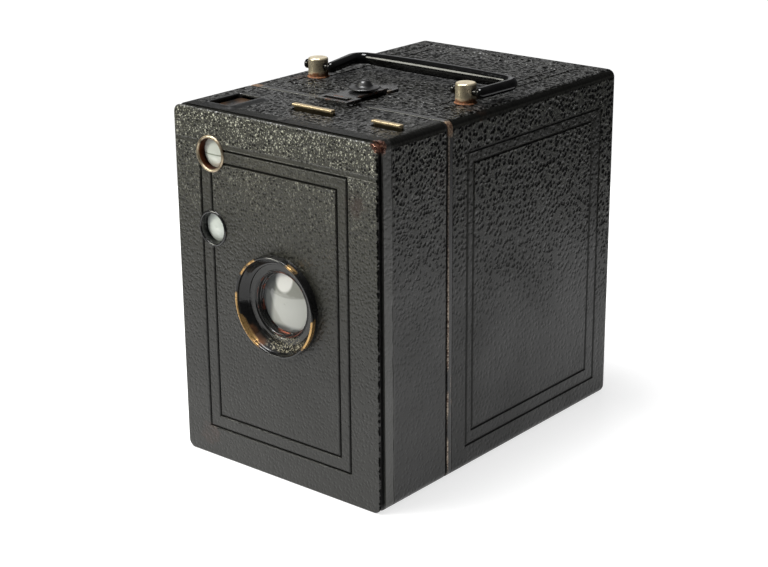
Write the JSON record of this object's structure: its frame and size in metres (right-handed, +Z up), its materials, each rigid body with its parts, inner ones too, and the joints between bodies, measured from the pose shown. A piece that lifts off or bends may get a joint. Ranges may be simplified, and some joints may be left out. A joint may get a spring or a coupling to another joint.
{
  "type": "box camera",
  "caption": "Leather-covered box camera for roll film with pull-out front unit, reflecting finders, stop strips, latch, winding key and carrying handle.",
  "frame": {"origin": "the middle of the base, on the surface that the camera stands on", "axes": "+Z up; -Y is the way the lens looks; +X to the right of someone who faces the lens"},
  "size_m": [0.1018, 0.1253, 0.1192],
  "materials": {
    "leather": "grained black leatherette, satin",
    "black_metal": "gloss black enamel, worn at the edges",
    "inner_black": "matt black",
    "nickel": "nickel plate, worn and rusty at the foot",
    "brass": "bare brass, dull",
    "steel": "spring steel",
    "glass": "polished",
    "ground_glass": "ground",
    "mirror": "silvered glass",
    "red": "red celluloid",
    "wood": "turned wood, oiled"
  },
  "bodies": {
    "rear_body": {"rear_shell": "inner_black", "shell_rim": "black_metal", "rear_leather": "leather", "base_leather": "leather", "back_leather": "leather", "red_window_ring": "black_metal", "red_window": "red", "tripod_bush": "nickel", "handle_post_left": "nickel", "handle_post_right": "nickel", "latch_foot": "black_metal", "key_bush": "nickel"},
    "handle": {"handle_wire": "black_metal", "handle_grip": "black_metal"},
    "latch": {"latch_strip": "black_metal", "latch_knob": "black_metal"},
    "key_collar": {"key_sleeve": "nickel"},
    "winding_key": {"key_shaft": "nickel", "key_wing": "nickel"},
    "aperture_stop": {"aperture_strip": "brass"},
    "time_stop": {"time_strip": "brass"},
    "shutter": {"shutter_disc": "steel"},
    "release": {"release_lever": "nickel"},
    "upper_guide": {"upper_roller": "nickel"},
    "lower_guide": {"lower_roller": "nickel"},
    "supply": {"supply_spool": "wood"},
    "takeup": {"takeup_spool": "wood"},
    "front_unit": {"front_plate": "black_metal", "front_leather": "leather", "front_shell": "black_metal", "front_wrap_leather": "leather", "front_base_leather": "leather", "light_trap": "inner_black", "latch_catch": "black_metal", "lens_hood": "black_metal", "lens_barrel": "inner_black", "lens_ring": "black_metal", "front_lens": "glass", "upper_finder_ring": "brass", "lower_finder_ring": "black_metal", "upper_finder_lens": "glass", "lower_finder_lens": "glass", "upper_mirror": "mirror", "lower_mirror": "mirror", "upper_mirror_box": "inner_black", "lower_mirror_box": "inner_black", "top_window_frame": "black_metal", "side_window_frame": "black_metal", "top_window": "ground_glass", "side_window": "ground_glass", "aperture_guide": "inner_black", "shutter_board": "inner_black", "shutter_pins": "steel", "lever_spring": "steel", "light_cone": "inner_black", "film_gate": "inner_black", "carrier_plate_left": "inner_black", "carrier_plate_right": "inner_black", "spool_pins": "steel", "spool_springs": "brass"}
  },
  "joints": [
    {"name": "front_pull", "type": "slide", "parent": "rear_body", "child": "front_unit", "axis": [0, -1, 0], "range_m": [0, 0.095]},
    {"name": "handle_swing", "type": "hinge", "parent": "rear_body", "child": "handle", "pos_m": [0, -0.0068, 0.1166], "axis": [1, 0, 0], "range_deg": [0, 150]},
    {"name": "latch_lift", "type": "hinge", "parent": "rear_body", "child": "latch", "pos_m": [0, -0.014, 0.114], "axis": [-1, 0, 0], "range_deg": [0, 10], "stiffness_Nm_per_rad": 0.15, "springref_deg": -6.88},
    {"name": "key_spin", "type": "hinge", "parent": "rear_body", "child": "key_collar", "pos_m": [-0.04, -0.005, 0.0963], "axis": [1, 0, 0], "continuous": true},
    {"name": "key_push", "type": "slide", "parent": "key_collar", "child": "winding_key", "axis": [1, 0, 0], "range_m": [0, 0.009]},
    {"name": "stop_slide", "type": "slide", "parent": "front_unit", "child": "aperture_stop", "axis": [0, 0, 1], "range_m": [0, 0.018]},
    {"name": "time_slide", "type": "slide", "parent": "front_unit", "child": "time_stop", "axis": [0, 0, 1], "range_m": [0, 0.005]},
    {"name": "release_press", "type": "hinge", "parent": "front_unit", "child": "release", "pos_m": [-0.027, -0.0408, 0.0472], "axis": [0, -1, 0], "range_deg": [0, 22]},
    {"name": "shutter_turn", "type": "hinge", "parent": "front_unit", "child": "shutter", "pos_m": [0.0014, -0.0408, 0.0432], "axis": [0, 1, 0], "range_deg": [0, 110]},
    {"name": "supply_spin", "type": "hinge", "parent": "front_unit", "child": "supply", "pos_m": [0, -0.005, 0.0167], "axis": [1, 0, 0], "continuous": true},
    {"name": "takeup_spin", "type": "hinge", "parent": "front_unit", "child": "takeup", "pos_m": [0, -0.005, 0.0963], "axis": [1, 0, 0], "continuous": true},
    {"name": "upper_roller_spin", "type": "hinge", "parent": "front_unit", "child": "upper_guide", "pos_m": [0, 0.0538, 0.1067], "axis": [1, 0, 0], "continuous": true},
    {"name": "lower_roller_spin", "type": "hinge", "parent": "front_unit", "child": "lower_guide", "pos_m": [0, 0.0538, 0.0063], "axis": [1, 0, 0], "continuous": true}
  ],
  "couplings": [
    {"joint": "shutter_turn", "follows": "release_press", "ratio": 5},
    {"joint": "takeup_spin", "follows": "key_spin", "ratio": 1}
  ]
}
